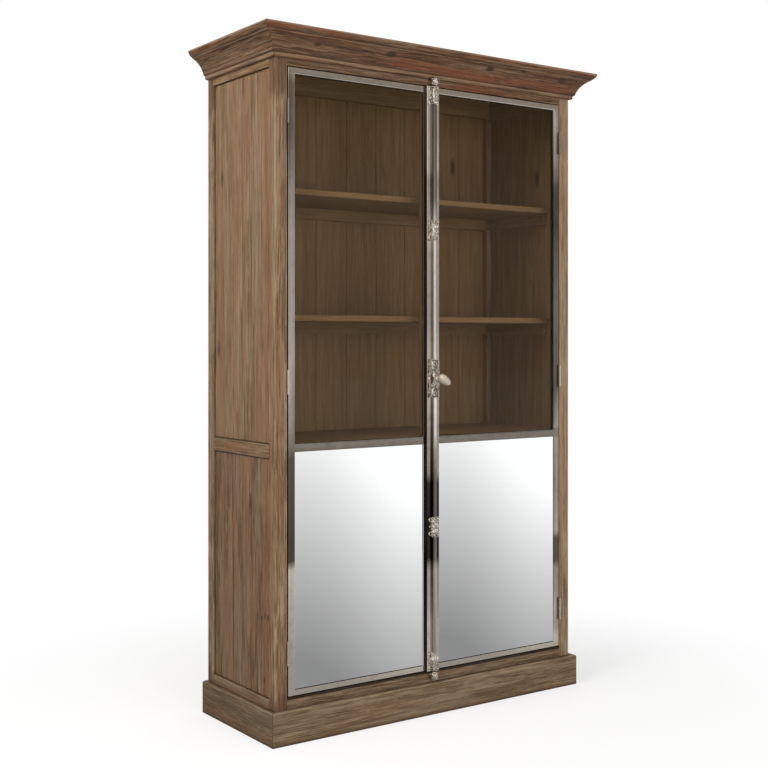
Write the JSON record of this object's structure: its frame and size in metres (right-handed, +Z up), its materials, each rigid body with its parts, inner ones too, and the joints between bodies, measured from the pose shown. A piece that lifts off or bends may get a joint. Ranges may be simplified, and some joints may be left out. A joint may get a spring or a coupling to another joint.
{
  "type": "armoire",
  "caption": "Tall weathered pine armoire with a crown and plinth, metal-framed glass and mirror doors on barrel hinges, inner shelves and a knob-driven rod bolt.",
  "frame": {"origin": "middle of the footprint box on the floor", "axes": "+X to the right seen from the front, +Y from the doors to the back, +Z up"},
  "size_m": [1.41, 0.532, 2.267],
  "materials": {
    "pine_case": "weathered, brushed grain, dull wax",
    "pine_crown": "weathered, reddish streaks, dull wax",
    "pine_plinth": "weathered, olive brown, dull wax",
    "pine_inside": "brown stain, matt",
    "polished_nickel": "polished",
    "dark_steel": "dull grey",
    "clear_glass": "clear, faintly tinted",
    "mirror_glass": "silvered",
    "backing_board": "plain board"
  },
  "bodies": {
    "carcass": {"back_boards": "pine_inside", "back_bottom_rail": "pine_inside", "back_cleats": "pine_inside", "back_post_left": "pine_case", "back_post_right": "pine_case", "back_top_rail": "pine_inside", "crown_front": "pine_crown", "crown_left": "pine_crown", "crown_right": "pine_crown", "door_stops": "pine_inside", "floor_bearers": "pine_inside", "floor_board": "pine_inside", "front_bottom_rail": "pine_case", "front_post_left": "pine_case", "front_post_right": "pine_case", "front_top_rail": "pine_case", "lower_shelf": "pine_inside", "mid_deck": "pine_inside", "plinth_front": "pine_plinth", "plinth_left": "pine_plinth", "plinth_right": "pine_plinth", "side_bottom_rail_left": "pine_case", "side_bottom_rail_right": "pine_case", "side_cleats": "pine_inside", "side_lower_boards_left": "pine_case", "side_lower_boards_right": "pine_case", "side_mid_rail_left": "pine_case", "side_mid_rail_right": "pine_case", "side_top_rail_left": "pine_case", "side_top_rail_right": "pine_case", "side_upper_boards_left": "pine_case", "side_upper_boards_right": "pine_case", "top_board": "pine_case", "upper_shelf": "pine_inside", "post_hinge_leaves": "polished_nickel", "hinge_pins": "polished_nickel", "hinge_screws": "polished_nickel", "keeper_top": "polished_nickel", "keeper_bottom": "polished_nickel"},
    "left_door": {"left_door_frame": "polished_nickel", "left_door_glass": "clear_glass", "left_door_glazing_beads": "dark_steel", "left_door_hinge_leaves": "polished_nickel", "left_door_mirror": "mirror_glass", "left_door_mirror_backing": "backing_board"},
    "right_door": {"right_door_frame": "polished_nickel", "right_door_glass": "clear_glass", "right_door_glazing_beads": "dark_steel", "right_door_hinge_leaves": "polished_nickel", "right_door_mirror": "mirror_glass", "right_door_mirror_backing": "backing_board", "meeting_strip": "polished_nickel", "rod_guides": "polished_nickel", "bolt_case": "polished_nickel", "bolt_screws": "polished_nickel"},
    "knob": {"knob": "polished_nickel", "spindle_pinion": "dark_steel"},
    "upper_rod": {"upper_rod": "polished_nickel"},
    "lower_rod": {"lower_rod": "polished_nickel"}
  },
  "joints": [
    {"name": "left_door_hinge", "type": "hinge", "parent": "carcass", "child": "left_door", "pos_m": [-0.58325, -0.196, 1.148], "axis": [0, 0, -1], "range_deg": [0, 170]},
    {"name": "right_door_hinge", "type": "hinge", "parent": "carcass", "child": "right_door", "pos_m": [0.58325, -0.196, 1.148], "axis": [0, 0, 1], "range_deg": [0, 170]},
    {"name": "knob_turn", "type": "hinge", "parent": "right_door", "child": "knob", "pos_m": [-0.012, -0.229, 1.148], "axis": [0, 1, 0], "range_deg": [0, 90]},
    {"name": "upper_rod_slide", "type": "slide", "parent": "right_door", "child": "upper_rod", "axis": [0, 0, 1], "range_m": [0, 0.0118]},
    {"name": "lower_rod_slide", "type": "slide", "parent": "right_door", "child": "lower_rod", "axis": [0, 0, -1], "range_m": [0, 0.0118]}
  ],
  "couplings": [
    {"joint": "upper_rod_slide", "follows": "knob_turn", "m_per_rad": 0.0075},
    {"joint": "lower_rod_slide", "follows": "knob_turn", "m_per_rad": 0.0075}
  ]
}
